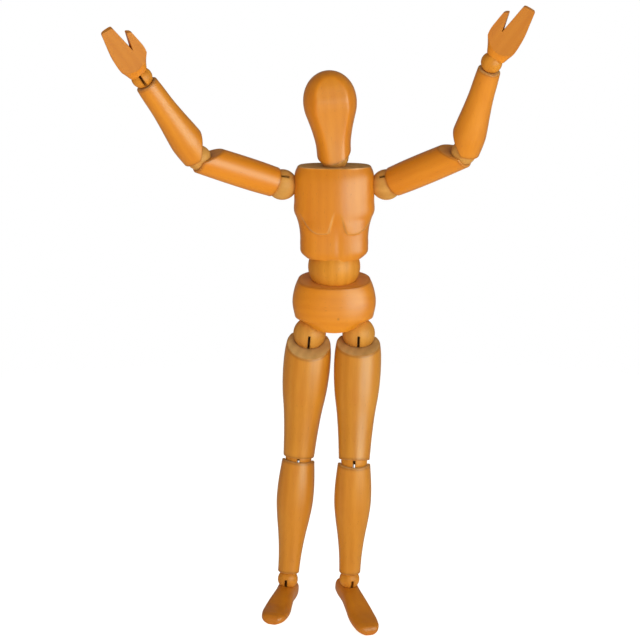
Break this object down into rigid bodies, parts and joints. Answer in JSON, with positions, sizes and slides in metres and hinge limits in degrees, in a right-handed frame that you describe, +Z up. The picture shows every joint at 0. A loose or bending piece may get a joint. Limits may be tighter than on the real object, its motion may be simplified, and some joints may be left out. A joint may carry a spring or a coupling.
{
  "type": "wooden artist mannequin",
  "caption": "Jointed wooden artist mannequin with a blank planed face, turned limbs strung on slotted ball joints, and a rod bore for a stand.",
  "frame": {"origin": "middle of the mouth of the stand rod's bore, on the pelvis block's flat underside", "axes": "+Z up, -Z out of the stand bore, +X the figure's own left, the figure faces -Y"},
  "size_m": [0.2285, 0.0766, 0.348],
  "materials": {
    "varnished_wood": "warm orange varnish, satin gloss over fine straight grain",
    "bare_wood": "paler, thinly varnished end grain and turned balls",
    "steel": "plain drawn wire and nails"
  },
  "bodies": {
    "pelvis": {"pelvis": "varnished_wood", "pelvis_nail": "steel", "pelvis_springs": "steel"},
    "waist_ball": {"waist_ball": "bare_wood", "waist_pin": "steel"},
    "chest": {"chest": "varnished_wood", "chest_nails": "steel", "chest_springs": "steel"},
    "neck_ball": {"neck_ball": "bare_wood", "neck_pin": "steel"},
    "head": {"head": "varnished_wood", "head_hook": "steel"},
    "shoulder_ball_left": {"shoulder_ball_left": "bare_wood", "shoulder_pin_left": "steel"},
    "elbow_ball_left": {"elbow_ball_left": "bare_wood", "elbow_pin_left": "steel"},
    "wrist_ball_left": {"wrist_ball_left": "bare_wood", "wrist_pin_left": "steel"},
    "hip_ball_left": {"hip_ball_left": "bare_wood", "hip_pin_left": "steel"},
    "knee_ball_left": {"knee_ball_left": "bare_wood", "knee_pin_left": "steel"},
    "ankle_ball_left": {"ankle_ball_left": "bare_wood", "ankle_pin_left": "steel"},
    "upper_arm_left": {"upper_arm_left": "varnished_wood", "upper_arm_spring_left": "steel"},
    "forearm_left": {"forearm_left": "varnished_wood", "forearm_spring_left": "steel"},
    "thigh_left": {"thigh_left": "varnished_wood", "thigh_spring_left": "steel"},
    "shin_left": {"shin_left": "varnished_wood", "shin_spring_left": "steel"},
    "hand_left": {"hand_left": "varnished_wood", "hand_hook_left": "steel"},
    "foot_left": {"foot_left": "varnished_wood", "foot_hook_left": "steel"},
    "shoulder_ball_right": {"shoulder_ball_right": "bare_wood", "shoulder_pin_right": "steel"},
    "elbow_ball_right": {"elbow_ball_right": "bare_wood", "elbow_pin_right": "steel"},
    "wrist_ball_right": {"wrist_ball_right": "bare_wood", "wrist_pin_right": "steel"},
    "hip_ball_right": {"hip_ball_right": "bare_wood", "hip_pin_right": "steel"},
    "knee_ball_right": {"knee_ball_right": "bare_wood", "knee_pin_right": "steel"},
    "ankle_ball_right": {"ankle_ball_right": "bare_wood", "ankle_pin_right": "steel"},
    "upper_arm_right": {"upper_arm_right": "varnished_wood", "upper_arm_spring_right": "steel"},
    "forearm_right": {"forearm_right": "varnished_wood", "forearm_spring_right": "steel"},
    "thigh_right": {"thigh_right": "varnished_wood", "thigh_spring_right": "steel"},
    "shin_right": {"shin_right": "varnished_wood", "shin_spring_right": "steel"},
    "hand_right": {"hand_right": "varnished_wood", "hand_hook_right": "steel"},
    "foot_right": {"foot_right": "varnished_wood", "foot_hook_right": "steel"}
  },
  "joints": [
    {"name": "waist_turn", "type": "hinge", "parent": "pelvis", "child": "waist_ball", "pos_m": [0, -0.0095, 0.036], "axis": [0, 0, 1], "range_deg": [-60, 60], "deforming": ["pelvis_springs"]},
    {"name": "waist_bend", "type": "hinge", "parent": "waist_ball", "child": "chest", "pos_m": [0, -0.0095, 0.036], "axis": [1, 0, 0], "range_deg": [-18, 18]},
    {"name": "neck_turn", "type": "hinge", "parent": "chest", "child": "neck_ball", "pos_m": [0, -0.0095, 0.0968], "axis": [-0.0175, 0, 0.9998], "range_deg": [-60, 50], "deforming": ["chest_springs"]},
    {"name": "neck_nod", "type": "hinge", "parent": "neck_ball", "child": "head", "pos_m": [0, -0.0095, 0.0968], "axis": [0.996, 0.0872, 0.0174], "range_deg": [-18, 6]},
    {"name": "shoulder_turn_left", "type": "hinge", "parent": "chest", "child": "shoulder_ball_left", "pos_m": [0.0284, -0.0095, 0.0812], "axis": [-1, 0, 0], "range_deg": [-136, 64], "deforming": ["chest_springs"]},
    {"name": "shoulder_swing_left", "type": "hinge", "parent": "shoulder_ball_left", "child": "upper_arm_left", "pos_m": [0.0284, -0.0095, 0.0812], "axis": [0, -0.6561, -0.7547], "range_deg": [-46, 28]},
    {"name": "elbow_turn_left", "type": "hinge", "parent": "upper_arm_left", "child": "elbow_ball_left", "pos_m": [0.06938, -0.03366, 0.1022], "axis": [0.788, -0.4646, 0.4039], "range_deg": [-20, 20], "deforming": ["upper_arm_spring_left"]},
    {"name": "elbow_bend_left", "type": "hinge", "parent": "elbow_ball_left", "child": "forearm_left", "pos_m": [0.06938, -0.03366, 0.1022], "axis": [0.3957, 0.8848, 0.2458], "range_deg": [-41, 44]},
    {"name": "wrist_turn_left", "type": "hinge", "parent": "forearm_left", "child": "wrist_ball_left", "pos_m": [0.08277, -0.0537, 0.15275], "axis": [0.2392, -0.3578, 0.9026], "range_deg": [-60, 60], "deforming": ["forearm_spring_left"]},
    {"name": "wrist_bend_left", "type": "hinge", "parent": "wrist_ball_left", "child": "hand_left", "pos_m": [0.08277, -0.0537, 0.15275], "axis": [0.0009, 0.9297, 0.3683], "range_deg": [-52, 18]},
    {"name": "hip_turn_left", "type": "hinge", "parent": "pelvis", "child": "hip_ball_left", "pos_m": [0.0135, -0.0095, -0.0015], "axis": [0.0349, 0, 0.9994], "range_deg": [-15, 35], "deforming": ["pelvis_springs"]},
    {"name": "hip_flex_left", "type": "hinge", "parent": "hip_ball_left", "child": "thigh_left", "pos_m": [0.0135, -0.0095, -0.0015], "axis": [-0.9994, 0, 0.0349], "range_deg": [-10, 36]},
    {"name": "knee_turn_left", "type": "hinge", "parent": "thigh_left", "child": "knee_ball_left", "pos_m": [0.01108, -0.02174, -0.07089], "axis": [0.0344, 0.1736, 0.9842], "range_deg": [-15, 15], "deforming": ["thigh_spring_left"]},
    {"name": "knee_bend_left", "type": "hinge", "parent": "knee_ball_left", "child": "shin_left", "pos_m": [0.01108, -0.02174, -0.07089], "axis": [-0.9994, 0, 0.0349], "range_deg": [-73, 17]},
    {"name": "ankle_turn_left", "type": "hinge", "parent": "shin_left", "child": "ankle_ball_left", "pos_m": [0.00865, -0.01321, -0.14032], "axis": [-0.0346, 0.1219, -0.9919], "range_deg": [-25, 18], "deforming": ["shin_spring_left"]},
    {"name": "ankle_pitch_left", "type": "hinge", "parent": "ankle_ball_left", "child": "foot_left", "pos_m": [0.00865, -0.01321, -0.14032], "axis": [-0.9463, -0.3231, -0.0067], "range_deg": [-11, 29]},
    {"name": "shoulder_turn_right", "type": "hinge", "parent": "chest", "child": "shoulder_ball_right", "pos_m": [-0.0284, -0.0095, 0.0812], "axis": [-1, 0, 0], "range_deg": [-136, 64], "deforming": ["chest_springs"]},
    {"name": "shoulder_swing_right", "type": "hinge", "parent": "shoulder_ball_right", "child": "upper_arm_right", "pos_m": [-0.0284, -0.0095, 0.0812], "axis": [0, 0.6561, 0.7547], "range_deg": [-39, 35]},
    {"name": "elbow_turn_right", "type": "hinge", "parent": "upper_arm_right", "child": "elbow_ball_right", "pos_m": [-0.07297, -0.02971, 0.09877], "axis": [-0.8572, -0.3887, 0.3379], "range_deg": [-20, 20], "deforming": ["upper_arm_spring_right"]},
    {"name": "elbow_bend_right", "type": "hinge", "parent": "elbow_ball_right", "child": "forearm_right", "pos_m": [-0.07297, -0.02971, 0.09877], "axis": [0.3827, -0.9197, -0.0871], "range_deg": [-51, 34]},
    {"name": "wrist_turn_right", "type": "hinge", "parent": "forearm_right", "child": "wrist_ball_right", "pos_m": [-0.10198, -0.04605, 0.1438], "axis": [-0.5179, -0.2917, 0.8042], "range_deg": [-60, 60], "deforming": ["forearm_spring_right"]},
    {"name": "wrist_bend_right", "type": "hinge", "parent": "wrist_ball_right", "child": "hand_right", "pos_m": [-0.10198, -0.04605, 0.1438], "axis": [0.8409, -0.001, 0.5412], "range_deg": [-47, 23]},
    {"name": "hip_turn_right", "type": "hinge", "parent": "pelvis", "child": "hip_ball_right", "pos_m": [-0.0135, -0.0095, -0.0015], "axis": [-0.0872, 0, -0.9962], "range_deg": [-15, 35], "deforming": ["pelvis_springs"]},
    {"name": "hip_flex_right", "type": "hinge", "parent": "hip_ball_right", "child": "thigh_right", "pos_m": [-0.0135, -0.0095, -0.0015], "axis": [-0.9962, 0, 0.0872], "range_deg": [0, 46]},
    {"name": "knee_turn_right", "type": "hinge", "parent": "thigh_right", "child": "knee_ball_right", "pos_m": [-0.01964, -0.0095, -0.07173], "axis": [-0.0872, 0, -0.9962], "range_deg": [-15, 15], "deforming": ["thigh_spring_right"]},
    {"name": "knee_bend_right", "type": "hinge", "parent": "knee_ball_right", "child": "shin_right", "pos_m": [-0.01964, -0.0095, -0.07173], "axis": [-0.9962, 0, 0.0872], "range_deg": [-90, 0]},
    {"name": "ankle_turn_right", "type": "hinge", "parent": "shin_right", "child": "ankle_ball_right", "pos_m": [-0.02575, -0.0095, -0.14147], "axis": [0.0872, 0, 0.9962], "range_deg": [-25, 10], "deforming": ["shin_spring_right"]},
    {"name": "ankle_pitch_right", "type": "hinge", "parent": "ankle_ball_right", "child": "foot_right", "pos_m": [-0.02575, -0.0095, -0.14147], "axis": [-0.9779, 0.1908, 0.0856], "range_deg": [-15, 25]}
  ]
}
